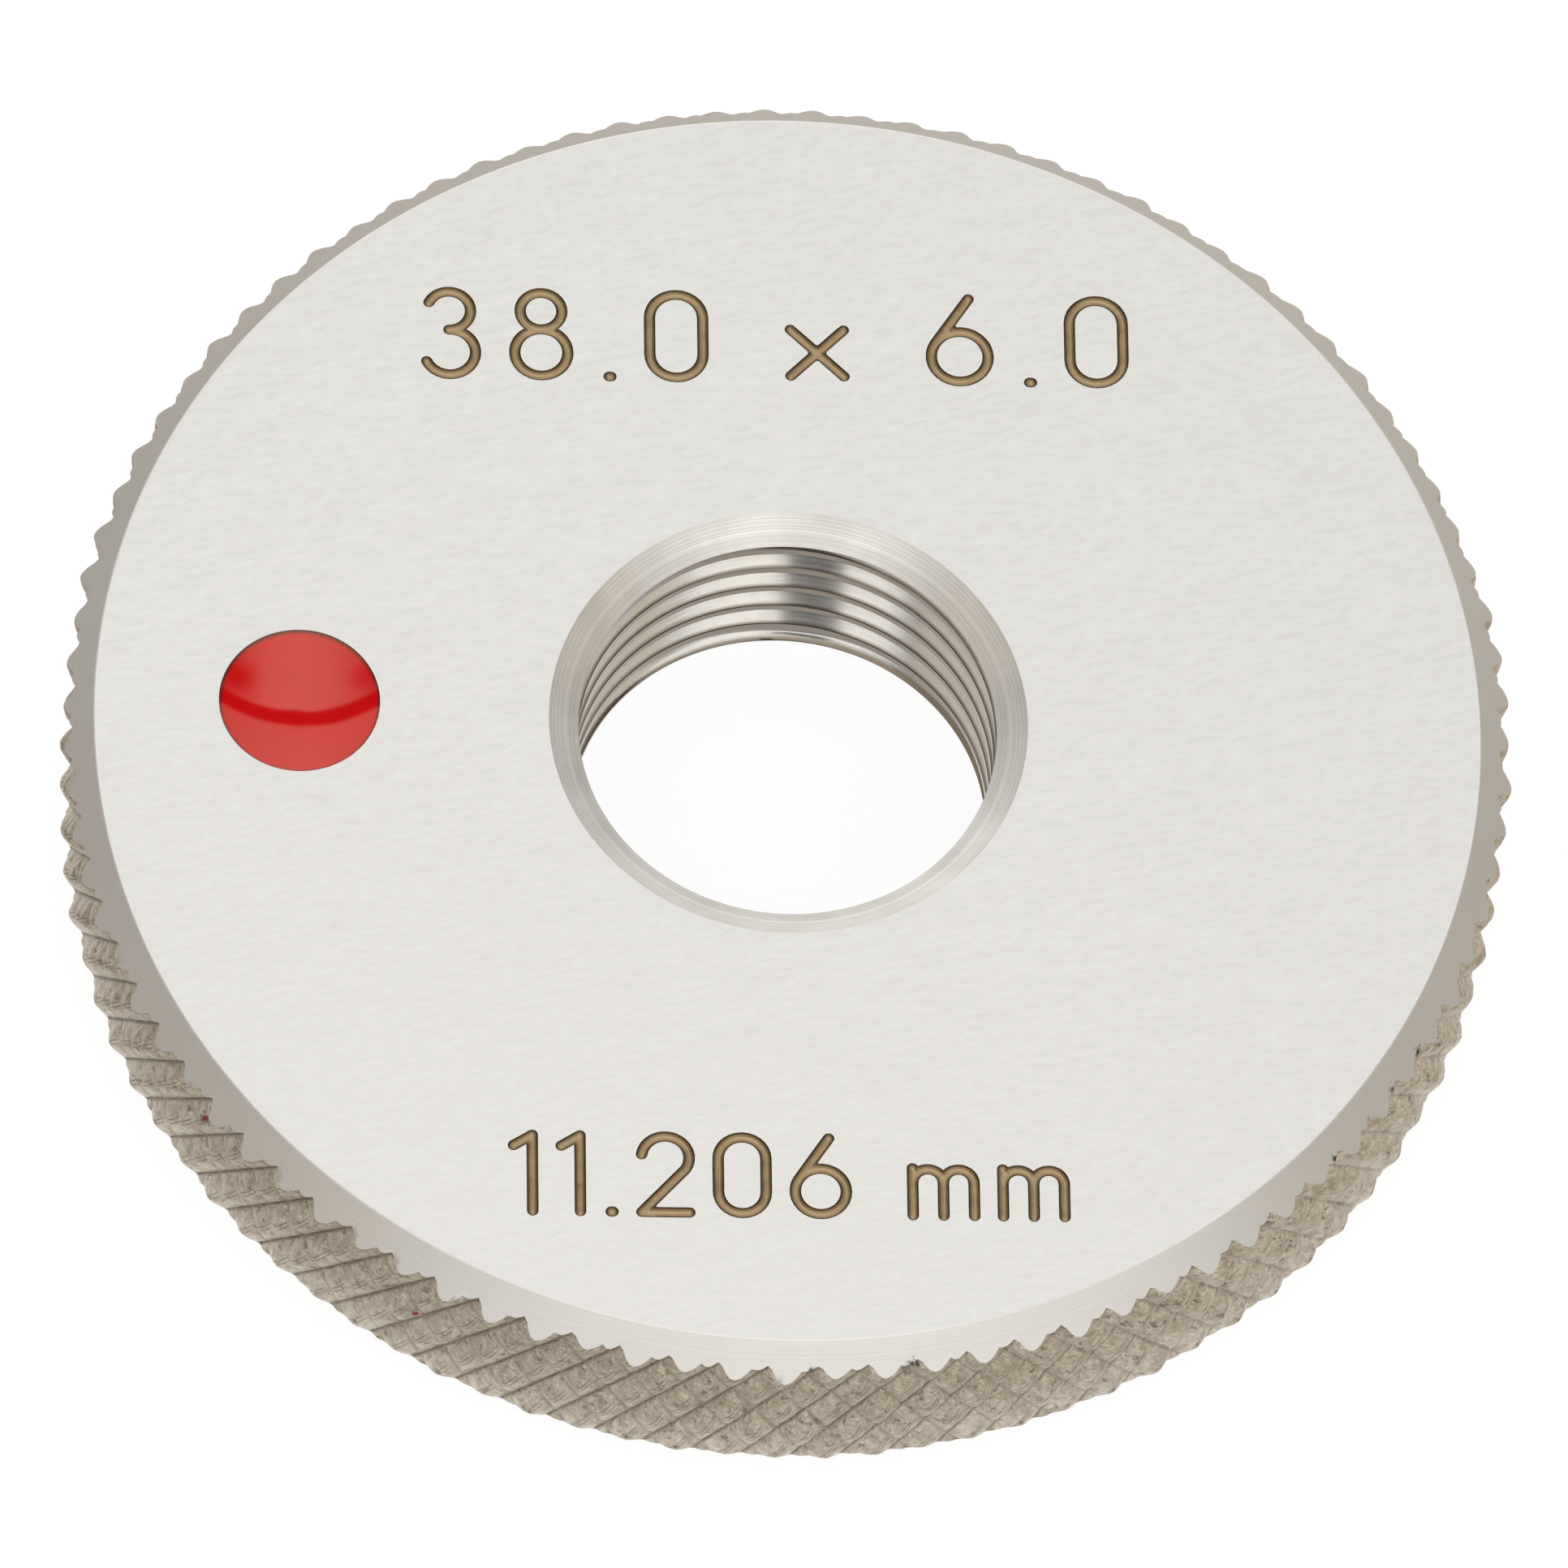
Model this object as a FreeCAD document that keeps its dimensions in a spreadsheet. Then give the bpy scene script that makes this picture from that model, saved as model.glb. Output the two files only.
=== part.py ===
import FreeCAD, Part
import os
import Sketcher

# A thread ring gauge: a flat steel ring with a diamond-knurled rim, a bevel on each outer edge,
# a countersunk bore, and a milled recess in the top face that holds a dab of red paint.
# Millimetres and degrees. The ring lies flat: z = 0 is its underside and the bore runs along Z.

doc = FreeCAD.newDocument("thread_ring_gauge")

# Driving dimensions. The bore is the thread's minor diameter (12 mm nominal, 1 mm pitch).
drivingSizes = {
    "outer_diameter": 38.0,
    "thickness": 6.0,
    "rim_bevel": 0.9,
    "bore_diameter": 10.917,
    "countersink_width": 0.79,
    "countersink_angle": 120.0,
    "knurl_count": 91,
    "knurl_angle": 31.5,
    "knurl_groove_angle": 105.0,
    "knurl_crest_drop": 0.05,
    "dot_diameter": 4.2,
    "dot_inset": 6.25,
    "recess_depth": 0.5,
    "paint_thickness": 0.14,
    "paint_below_face": 0.06,
}

sheet = doc.addObject("Spreadsheet::Sheet", "Sizes")
for row, (alias, value) in enumerate(drivingSizes.items(), 1):
    sheet.set(f"A{row}", alias)
    sheet.set(f"B{row}", str(value))
    sheet.setAlias(f"B{row}", alias)
doc.recompute()

# Lengths worked out from the sheet, as the expressions that the sketches are bound to.
rimRadius = "Sizes.outer_diameter / 2"
faceRadius = f"({rimRadius} - Sizes.rim_bevel)"
boreRadius = "Sizes.bore_diameter / 2"
countersinkRadius = f"({boreRadius} + Sizes.countersink_width)"
countersinkDepth = "Sizes.countersink_width / tan(Sizes.countersink_angle / 2 * 1 deg)"
dotRadius = "Sizes.dot_diameter / 2"
dotDistance = f"({rimRadius} - Sizes.dot_inset)"

# The knurl's V grooves meet in sharp crests, so their depth follows from their spacing and their angle.
# The crests lie a little inside the turned rim, so that none of its round wall is left between grooves.
halfSpacing = "pi * Sizes.outer_diameter / Sizes.knurl_count / 2 * cos(Sizes.knurl_angle * 1 deg)"
grooveSlope = "tan(Sizes.knurl_groove_angle / 2 * 1 deg)"
crestRadius = f"{rimRadius} - Sizes.knurl_crest_drop"
grooveDepth = f"{halfSpacing} / {grooveSlope}"

# How far the knurling cutter stands out of the rim, so that each groove opens cleanly.
cutterOverrun = 0.05


def originFeature(body, role):
    return next(feature for feature in body.Origin.OriginFeatures if feature.Role == role)


def addSketch(body, name, role):
    sketch = body.newObject("Sketcher::SketchObject", name)
    sketch.AttachmentSupport = [(originFeature(body, role), "")]
    sketch.MapMode = "FlatFace"
    return sketch


def bindPoint(sketch, edge, end, across, up):
    """Tie one end of a sketch edge to two expressions; "0" puts it on that axis."""
    for kind, expression, axis in (("DistanceX", across, -2), ("DistanceY", up, -1)):
        if expression == "0":
            sketch.addConstraint(Sketcher.Constraint("PointOnObject", edge, end, axis))
        else:
            index = sketch.addConstraint(Sketcher.Constraint(kind, -1, 1, edge, end, 1.0))
            sketch.setExpression(f"Constraints[{index}]", expression)


def drawOutline(sketch, corners):
    """A closed outline of straight edges through corners given as pairs of expressions."""
    count = len(corners)
    for corner in range(count):
        start = FreeCAD.Vector(corner, corner % 2, 0)
        finish = FreeCAD.Vector(corner + 1, (corner + 1) % 2, 0)
        sketch.addGeometry(Part.LineSegment(start, finish), False)
    for corner in range(count):
        following = (corner + 1) % count
        sketch.addConstraint(Sketcher.Constraint("Coincident", corner, 2, following, 1))
    for corner, (across, up) in enumerate(corners):
        bindPoint(sketch, corner, 1, across, up)


def addTurnedRing(body):
    """The ring as it comes off the lathe: bore, two countersinks, two faces, two bevels."""
    top = "Sizes.thickness"
    section = addSketch(body, "RingSection", "XZ_Plane")
    drawOutline(section, [
        (boreRadius, countersinkDepth),
        (countersinkRadius, "0"),
        (faceRadius, "0"),
        (rimRadius, "Sizes.rim_bevel"),
        (rimRadius, f"{top} - Sizes.rim_bevel"),
        (faceRadius, top),
        (countersinkRadius, top),
        (boreRadius, f"{top} - {countersinkDepth}"),
    ])
    ring = body.newObject("PartDesign::Revolution", "TurnedRing")
    ring.Profile = section
    ring.ReferenceAxis = (section, ["V_Axis"])
    ring.Angle = 360
    doc.recompute()


def addDotRecess(body):
    """The round flat-bottomed recess for the colour mark, on the -X side of the top face."""
    outline = addSketch(body, "RecessOutline", "XY_Plane")
    outline.setExpression("AttachmentOffset.Base.z", "Sizes.thickness")
    circle = outline.addGeometry(Part.Circle(FreeCAD.Vector(-12, 0, 0), FreeCAD.Vector(0, 0, 1), 2), False)
    radius = outline.addConstraint(Sketcher.Constraint("Radius", circle, 2.0))
    outline.setExpression(f"Constraints[{radius}]", dotRadius)
    bindPoint(outline, circle, 3, f"-{dotDistance}", "0")
    recess = body.newObject("PartDesign::Pocket", "Recess")
    recess.Profile = outline
    recess.setExpression("Length", "Sizes.recess_depth")
    doc.recompute()


def addKnurlGrooves(body, hand, lean):
    """One hand of the knurl: a straight V cut across the rim, leaning from the bore's axis,
    repeated round the ring. The two hands together leave rows of diamond points."""
    cutter = addSketch(body, f"{hand}CutterSection", "XY_Plane")
    tilt = FreeCAD.Rotation(FreeCAD.Vector(lean, 0, 0), 1)
    cutter.AttachmentOffset = FreeCAD.Placement(FreeCAD.Vector(0, 0, 1), tilt)
    cutter.setExpression("AttachmentOffset.Base.z", "Sizes.thickness / 2")
    cutter.setExpression("AttachmentOffset.Rotation.Angle", "Sizes.knurl_angle * 1 deg")
    cutterHeight = f"({grooveDepth} + Sizes.knurl_crest_drop + {cutterOverrun})"
    halfWidth = f"{cutterHeight} * {grooveSlope}"
    drawOutline(cutter, [
        (f"{crestRadius} - {grooveDepth}", "0"),
        (f"{rimRadius} + {cutterOverrun}", halfWidth),
        (f"{rimRadius} + {cutterOverrun}", f"-{halfWidth}"),
    ])
    groove = body.newObject("PartDesign::Pocket", f"{hand}Groove")
    groove.Profile = cutter
    groove.SideType = "Symmetric"
    groove.setExpression("Length", "2 * Sizes.thickness")
    groove.Refine = False
    doc.recompute()
    grooves = body.newObject("PartDesign::PolarPattern", f"{hand}Grooves")
    grooves.Originals = [groove]
    grooves.Axis = (originFeature(body, "Z_Axis"), [""])
    grooves.Angle = 360
    grooves.setExpression("Occurrences", "Sizes.knurl_count")
    grooves.Refine = False
    body.Tip = grooves
    doc.recompute()


def makeGaugeRing():
    body = doc.addObject("PartDesign::Body", "GaugeRing")
    body.Label = "gauge_ring"
    body.Placement = FreeCAD.Placement()
    addTurnedRing(body)
    addDotRecess(body)
    addKnurlGrooves(body, "Right", -1)
    addKnurlGrooves(body, "Left", 1)
    return body


def makeRedDot():
    """The paint in the recess: flat below, with a dished top that climbs to the recess wall.
    It is drawn about its own axis, with z = 0 on the recess floor."""
    body = doc.addObject("PartDesign::Body", "RedDot")
    body.Label = "red_dot"
    section = addSketch(body, "PaintSection", "XZ_Plane")
    edgeHeight = "Sizes.recess_depth - Sizes.paint_below_face"
    point = FreeCAD.Vector
    floor = section.addGeometry(Part.LineSegment(point(0, 0, 0), point(2, 0, 0)), False)
    wall = section.addGeometry(Part.LineSegment(point(2, 0, 0), point(2, 0.4, 0)), False)
    dish = section.addGeometry(Part.Arc(point(2, 0.4, 0), point(1, 0.2, 0), point(0, 0.1, 0)), False)
    middle = section.addGeometry(Part.LineSegment(point(0, 0.1, 0), point(0, 0, 0)), False)
    section.addConstraint(Sketcher.Constraint("Coincident", floor, 2, wall, 1))
    section.addConstraint(Sketcher.Constraint("Coincident", wall, 2, dish, 2))
    section.addConstraint(Sketcher.Constraint("Coincident", dish, 1, middle, 1))
    section.addConstraint(Sketcher.Constraint("Coincident", middle, 2, floor, 1))
    section.addConstraint(Sketcher.Constraint("PointOnObject", dish, 3, -2))
    bindPoint(section, floor, 1, "0", "0")
    bindPoint(section, floor, 2, dotRadius, "0")
    bindPoint(section, wall, 2, dotRadius, edgeHeight)
    bindPoint(section, middle, 1, "0", "Sizes.paint_thickness")
    paint = body.newObject("PartDesign::Revolution", "Paint")
    paint.Profile = section
    paint.ReferenceAxis = (section, ["V_Axis"])
    paint.Angle = 360
    body.setExpression("Placement.Base.x", f"-{dotDistance}")
    body.setExpression("Placement.Base.z", "Sizes.thickness - Sizes.recess_depth")
    doc.recompute()
    return body


bodies = [makeGaugeRing(), makeRedDot()]

for item in doc.Objects:
    if "Invalid" in item.State or "Error" in item.State:
        raise RuntimeError(f"{item.Name} failed: {item.State}")
for body in bodies:
    if body.Shape.isNull() or not body.Shape.isValid() or len(body.Shape.Solids) != 1:
        raise RuntimeError(f"{body.Label} is not one valid solid")

os.makedirs("parts", exist_ok=True)
for body in bodies:
    body.Shape.exportStep(f"parts/{body.Label}.step")
    print(body.Label, "volume", round(body.Shape.Volume, 3), body.Shape.BoundBox)
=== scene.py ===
import math

import bmesh
import bpy
import numpy as np
from mathutils import Matrix, Vector
from mathutils.geometry import delaunay_2d_cdt


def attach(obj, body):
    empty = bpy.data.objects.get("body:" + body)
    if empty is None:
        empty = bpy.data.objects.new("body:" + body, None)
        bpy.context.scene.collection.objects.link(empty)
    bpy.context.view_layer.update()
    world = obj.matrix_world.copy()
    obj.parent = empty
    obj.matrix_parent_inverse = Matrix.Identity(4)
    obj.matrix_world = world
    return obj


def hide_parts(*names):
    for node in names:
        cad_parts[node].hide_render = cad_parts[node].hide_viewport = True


# A thread ring gauge in ground and knurled steel, with engraved numbers and a dab of red paint.
# Lengths are in millimetres until meshFromPatches turns them into metres.
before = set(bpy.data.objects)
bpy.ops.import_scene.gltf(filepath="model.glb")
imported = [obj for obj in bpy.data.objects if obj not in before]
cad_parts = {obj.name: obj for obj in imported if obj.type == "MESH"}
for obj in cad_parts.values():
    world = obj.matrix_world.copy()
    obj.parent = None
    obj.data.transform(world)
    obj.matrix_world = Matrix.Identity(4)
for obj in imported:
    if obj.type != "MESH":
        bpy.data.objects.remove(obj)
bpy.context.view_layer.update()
mm = 0.001
tiny = 1e-6
chance = np.random.default_rng(12)

ring = {
    "thickness": 6.0,
    "outerRadius": 19.0,
    "rimBevel": 0.9,
    "boreRadius": 5.4585,
    "countersinkWidth": 0.79,
    "countersinkHalfAngle": math.radians(60),
    "edgeBreak": 0.016,      # the small flat that takes the sharpness off the face's edge
    "edgeBreakReach": 1.4,   # how far in from the bevel's own end it goes, as a multiple of its depth
}

knurl = {
    "count": 91,
    "lean": math.radians(31.5),
    "rootRadius": 18.521,
    "depth": 0.429,
    "cellsPerGroove": 12,
    "crestRounding": 0.45,   # as a share of half a groove's width
    "shallowerHand": 0.2,    # what the second hand of cuts leaves of its groove's depth
    "ridgeBlend": 0.09,      # the k of the softened ridges between the two hands
    "unevenness": 0.14,      # how much lower some points stand
    "lowerWear": (0.08, 1.8),  # how much lower points stand at the lower edge, and up to which height
    "roughness": 0.006,
    "skin": 0.03,            # the least that rough places stay inside the ring's outer radius
    "searchSteps": 30,
}

thread = {
    "pitch": 1.0,
    "majorRadius": 6.0,
    "flankAngle": math.radians(60),  # between a flank and the bore's axis
    "crestFlat": 0.125,      # half the flat on a crest, as a share of the pitch
    "columns": 216,
    "profile": [0.0, 0.06, 0.11, 0.135, 0.2, 0.28, 0.36, 0.43, 0.45],  # heights, as shares of the pitch
    "runOut": 0.32,          # the height over which the groove ends at a countersink
}

engraving = {
    "tilt": math.radians(1.9),
    "topText": "38.0 x 6.0",
    "topHeight": 2.5,
    "topPlace": (-0.25, 10.25),
    "topWidth": 18.4,
    "bottomText": "11.206 mm",
    "bottomHeight": 2.2,
    "bottomPlace": (-0.15, -14.45),
    "bottomWidth": 14.2,
    "halfWidth": 0.15,
    "depth": 0.1,
    "roundness": 0.75,       # 0.5 would make the groove a half round
    "spacing": 0.08,
    "clearance": 0.003,      # how much nearer than its own a point may be to another stroke
    "pointGap": 0.02,
    "cornerBend": 0.4,       # radians between two stretches of a path that make a corner
    "rings": [0.4, 0.75, 1.0, 1.35],  # where points stand beside a stroke, in half widths
}

paint = {
    "radius": 2.1,
    "distance": 12.75,
    "recessDepth": 0.5,
    "thickness": 0.14,
    "belowFace": 0.06,
    "columns": 96,
    "rows": 20,
    "wave": (0.004, 3, 0.7),  # the height of a faint wave in the top, its count and its place
    "supportGap": 0.05,
}

meshing = {
    "weldGap": 0.003,        # points nearer than this become one
    "shortestEdge": 0.001,
    "softAngle": math.radians(40),
    "supportGap": 0.07,      # from a face's edge to the points that keep its triangles well shaped
    "flatTolerance": 0.004,  # what sinks further than this below a face is engraved
}


# Triangles of a grid whose points are stored column by column. Where `turned` is true the cell is
# cut by its other diagonal.
def gridTriangles(columns, rows, turned=False):
    column, row = np.meshgrid(np.arange(columns - 1), np.arange(rows - 1), indexing="ij")
    low = column * rows + row
    right = low + rows
    rising = np.stack([low, right, right + 1, low, right + 1, low + 1], -1)
    falling = np.stack([low, right, low + 1, right, right + 1, low + 1], -1)
    turned = np.broadcast_to(turned, low.shape)
    return np.where(turned[..., None], falling, rising).reshape(-1, 3)


# Points at polar places round the bore's axis: x = r cos a, y = r sin a.
def polarPoints(radius, angle, height):
    radius, angle, height = np.broadcast_arrays(radius, angle, height)
    return np.stack([radius * np.cos(angle), radius * np.sin(angle), height], -1).reshape(-1, 3)


# Numbers kept at a mesh's points under a name that its material reads.
def setPointValues(mesh, name, values):
    attribute = mesh.attributes.new(name, "FLOAT", "POINT")
    attribute.data.foreach_set("value", np.broadcast_to(values, len(mesh.vertices)).astype(np.float32))


# One closed mesh from patches whose borders meet point for point. Edges that turn by more than the
# sharp angle are sharp; inside the soft slot only those that turn by more than the soft angle are.
def meshFromPatches(name, patches, materials, sharpAngle, softSlot=None):
    points = []
    triangles = []
    slots = []
    count = 0
    for patchPoints, patchTriangles, slot in patches:
        points.append(patchPoints)
        triangles.append(patchTriangles + count)
        slots.append(np.broadcast_to(slot, len(patchTriangles)))
        count += len(patchPoints)
    mesh = bpy.data.meshes.new(name)
    mesh.from_pydata((np.concatenate(points) * mm).tolist(), [], np.concatenate(triangles).tolist())
    mesh.polygons.foreach_set("material_index", np.concatenate(slots).astype(np.int32))
    for material in materials:
        mesh.materials.append(material)
    work = bmesh.new()
    work.from_mesh(mesh)
    bmesh.ops.remove_doubles(work, verts=work.verts, dist=meshing["weldGap"] * mm)
    bmesh.ops.dissolve_degenerate(work, edges=work.edges, dist=meshing["shortestEdge"] * mm)
    bmesh.ops.triangulate(work, faces=work.faces)
    bmesh.ops.recalc_face_normals(work, faces=work.faces)
    for face in work.faces:
        face.smooth = True
    for edge in work.edges:
        soft = all(face.material_index == softSlot for face in edge.link_faces)
        edge.smooth = edge.calc_face_angle(0) < (meshing["softAngle"] if soft else sharpAngle)
    work.to_mesh(mesh)
    work.free()
    piece = bpy.data.objects.new(name, mesh)
    bpy.context.scene.collection.objects.link(piece)
    print(name, "triangles", len(mesh.polygons))
    return piece


# How many grooves round the rim a place is, for each hand of cuts.
def knurlTurns(angle, height):
    climb = (height - ring["thickness"] / 2) * math.tan(knurl["lean"]) / knurl["rootRadius"]
    return [(angle + hand * climb) * knurl["count"] / (2 * math.pi) for hand in (-1, 1)]


# For each hand of cuts: 0 along a root and 1 along a crest, with straight lines between.
def cutShares(angle, height):
    return [1 - np.abs(2 * (turns % 1.0) - 1) for turns in knurlTurns(angle, height)]


# How far each point is worn down: one number for each crossing of two crests.
pointWear = chance.random((knurl["count"], knurl["count"]))


# The knurl: two hands of V cuts. Away from its root each cut climbs to a crest halfway to its
# neighbour, rounded over at the top, and the metal left is the lower of the two hands at every place:
# minus k times the logarithm of the sum of exp(-share / k), which softens the ridge between the two.
def knurlRadius(angle, height, rounding):
    climb = (height - ring["thickness"] / 2) * math.tan(knurl["lean"])
    root = np.hypot(knurl["rootRadius"], climb)
    first, second = cutShares(angle, height)
    second = knurl["shallowerHand"] + (1 - knurl["shallowerHand"]) * second
    blend = knurl["ridgeBlend"]
    share = np.clip(-blend * np.log(np.exp(-first / blend) + np.exp(-second / blend)), 0, 1)
    rounded = 1 - (np.hypot(1 - share, rounding) - rounding) / (math.hypot(1, rounding) - rounding)
    crossing = [np.floor(turns + tiny).astype(int) % knurl["count"] for turns in knurlTurns(angle, height)]
    worn = knurl["unevenness"] * pointWear[crossing[0], crossing[1]]
    worn += np.interp(height, (ring["rimBevel"], knurl["lowerWear"][1]), (knurl["lowerWear"][0], 0))
    return np.minimum(root + knurl["depth"] * rounded, ring["outerRadius"]) - worn * rounded


# The cuts as point values for the rim's material.
def markCuts(piece):
    places = np.zeros(len(piece.data.vertices) * 3)
    piece.data.vertices.foreach_get("co", places)
    x, y, z = places.reshape(-1, 3).T / mm
    for name, share in zip(("firstCut", "secondCut"), cutShares(np.arctan2(y, x), z)):
        setPointValues(piece.data, name, share)


# How far above or below the middle the knurl meets a 45 degree bevel, found by halving the span.
def bevelCrossing(angle, side):
    middle = ring["thickness"] / 2
    bevelStart = middle - ring["rimBevel"]
    low = np.full(angle.shape, bevelStart)
    high = np.full(angle.shape, middle)
    for _ in range(knurl["searchSteps"]):
        rise = (low + high) / 2
        coneRadius = ring["outerRadius"] - (rise - bevelStart)
        inside = knurlRadius(angle, middle + side * rise, knurl["crestRounding"]) < coneRadius
        low = np.where(inside, rise, low)
        high = np.where(inside, high, rise)
    return (low + high) / 2


# The rim: columns a twelfth of a groove apart and rows set so that both hands of cuts run from
# corner to corner of the cells, which lets every crease follow an edge.
def makeRim():
    columns = knurl["count"] * knurl["cellsPerGroove"]
    angle = np.linspace(0, 2 * math.pi, columns + 1)
    rowStep = 2 * math.pi / columns * knurl["rootRadius"] / math.tan(knurl["lean"])
    halfRows = math.ceil(ring["thickness"] / 2 / rowStep)
    row = np.arange(-halfRows, halfRows + 1)
    middle = ring["thickness"] / 2
    upper, lower = bevelCrossing(angle, 1), bevelCrossing(angle, -1)
    rise = np.clip(row * rowStep, -lower[:, None], upper[:, None])
    height = middle + rise
    radius = knurlRadius(angle[:, None], height, knurl["crestRounding"])
    cell = np.arange(columns + 1)
    grit = chance.normal(0, knurl["roughness"], radius.shape)
    grit[-1] = grit[0]
    free = (rise < upper[:, None] - tiny) & (rise > tiny - lower[:, None])
    bevelRadius = ring["outerRadius"] - (np.abs(rise) - (middle - ring["rimBevel"]))
    radius = np.where(free, np.minimum(radius + grit, ring["outerRadius"] - knurl["skin"]), bevelRadius)
    columnCell, rowCell = np.meshgrid(cell[:-1], row[:-1], indexing="ij")
    falling = (columnCell + rowCell + 1) % (knurl["cellsPerGroove"] // 2) == 0
    rim = (polarPoints(radius, angle[:, None], height), gridTriangles(columns + 1, len(row), falling), 2)
    return [rim, makeBevel(angle, upper, 1), makeBevel(angle, lower, -1)]


# The bevel: straight lines up the cone from the knurl's end to the broken edge, and across it.
def makeBevel(angle, crossing, side):
    middle = ring["thickness"] / 2
    faceRadius = ring["outerRadius"] - ring["rimBevel"]
    flatRadius = faceRadius - ring["edgeBreakReach"] * ring["edgeBreak"]
    share = np.linspace(0, 1, 5)
    rise = crossing[:, None] + (middle - ring["edgeBreak"] - crossing[:, None]) * share
    radius = faceRadius + middle - rise
    rise = np.hstack([rise, np.full((len(angle), 1), middle)])
    radius = np.hstack([radius, np.full((len(angle), 1), flatRadius)])
    points = polarPoints(radius, angle[:, None], middle + side * rise)
    return points, gridTriangles(len(angle), rise.shape[1]), 1


# The bore: a 60 degree thread whose rows of points climb with the helix, so that the last column is
# the first one a pitch higher. It ends at the foot of a straight cone at either face.
def makeBore():
    half = np.array(thread["profile"])
    phase = np.concatenate([half, 1 - half[:0:-1]])
    turns = math.ceil(ring["thickness"] / thread["pitch"]) + 1
    climb = (np.arange(-1, turns)[:, None] + phase).ravel() * thread["pitch"]
    angle = np.linspace(0, 2 * math.pi, thread["columns"] + 1)
    foot = ring["countersinkWidth"] / math.tan(ring["countersinkHalfAngle"])
    height = climb + angle[:, None] / (2 * math.pi) * thread["pitch"]
    height = np.clip(height, foot, ring["thickness"] - foot)
    fromCrest = np.minimum(climb % 1, 1 - climb % 1) - thread["crestFlat"]
    rootDepth = np.clip(fromCrest * thread["pitch"] * math.tan(thread["flankAngle"]), 0, None)
    rootDepth = np.minimum(rootDepth, thread["majorRadius"] - ring["boreRadius"])
    fromFoot = np.minimum(height, ring["thickness"] - height) - foot
    radius = ring["boreRadius"] + rootDepth * np.clip(fromFoot / thread["runOut"], 0, 1)
    patches = [(polarPoints(radius, angle[:, None], height), gridTriangles(len(angle), len(climb)), 3)]
    share = np.linspace(0, 1, 4)
    for start, end in ((0, foot), (ring["thickness"], ring["thickness"] - foot)):
        coneRadius = ring["boreRadius"] + ring["countersinkWidth"] * (1 - share)
        points = polarPoints(coneRadius, angle[:, None], start + (end - start) * share)
        patches.append((points, gridTriangles(len(angle), len(share)), 1))
    return patches


def arc(x, y, radius, start, end):
    turn = np.radians(np.linspace(start, end, max(4, int(abs(end - start) / 12))))
    return np.stack([x + radius * np.cos(turn), y + radius * np.sin(turn)], -1).tolist()


# One-line figures as lists of paths, with a height of 1 from the foot's centre line to the head's.
figures = {
    "0": (0.56, [[[0, 0.3]] + arc(0.28, 0.72, 0.28, 180, 0) + arc(0.28, 0.28, 0.28, 0, -180)]),
    "1": (0.22, [[[0, 0.86], [0.22, 1], [0.22, 0]]]),
    "2": (0.56, [arc(0.28, 0.72, 0.28, 172, -32) + [[0, 0], [0.56, 0]]]),
    "3": (0.54, [arc(0.26, 0.77, 0.23, 155, -90) + arc(0.27, 0.27, 0.27, 90, -155)]),
    "6": (0.6, [arc(0.3, 0.3, 0.3, 0, 360), [[0.04, 0.45], [0.4, 1]]]),
    "8": (0.56, [arc(0.28, 0.78, 0.22, 0, 360), arc(0.28, 0.28, 0.28, 0, 360)]),
    "x": (0.56, [[[0, 0.04], [0.56, 0.6]], [[0, 0.6], [0.56, 0.04]]]),
    ".": (0.04, [[[0.02, 0.0], [0.04, 0.0]]]),
    "m": (0.72, [[[0, 0.62], [0, 0]], arc(0.18, 0.43, 0.18, 180, 0) + [[0.36, 0]],
                 arc(0.54, 0.43, 0.18, 180, 0) + [[0.72, 0]]]),
    " ": (0.1, []),
}


# Points along a path, no further apart than the spacing, that keep every corner of it.
def evenPath(corners, spacing):
    along = np.concatenate([[0], np.cumsum(np.hypot(*np.diff(corners, axis=0).T))])
    pieces = []
    for start, end in zip(along[:-1], along[1:]):
        pieces.append(np.linspace(start, end, math.ceil((end - start) / spacing), endpoint=False))
    places = np.append(np.concatenate(pieces), along[-1])
    return np.stack([np.interp(places, along, corners[:, 0]), np.interp(places, along, corners[:, 1])], -1)


# A row of figures, centred on a place and spread evenly to the row's width.
def rowOfFigures(text, height, place, width):
    bare = sum(figures[figure][0] for figure in text) * height
    gap = (width - bare) / (len(text) - 1)
    tiltCos, tiltSin = math.cos(engraving["tilt"]), math.sin(engraving["tilt"])
    tilt = np.array([[tiltCos, tiltSin], [-tiltSin, tiltCos]])
    paths = []
    start = place[0] - width / 2
    for figure in text:
        figureWidth, strokes = figures[figure]
        for stroke in strokes:
            corners = np.array(stroke) * height + (start, place[1])
            paths.append(evenPath(corners @ tilt, engraving["spacing"]))
        start += figureWidth * height + gap
    return paths


# Distance from each point to the nearest path: the nearest place on each straight piece of each path.
def distanceToPaths(points, paths):
    nearest = np.full(len(points), 1e9)
    for path in paths:
        start = path[:-1]
        span = path[1:] - start
        offset = points[:, None] - start
        share = np.clip((offset * span).sum(-1) / (span ** 2).sum(-1), 0, 1)
        gap = np.hypot(*np.moveaxis(offset - share[..., None] * span, -1, 0))
        nearest = np.minimum(nearest, gap.min(1))
    return nearest


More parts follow.
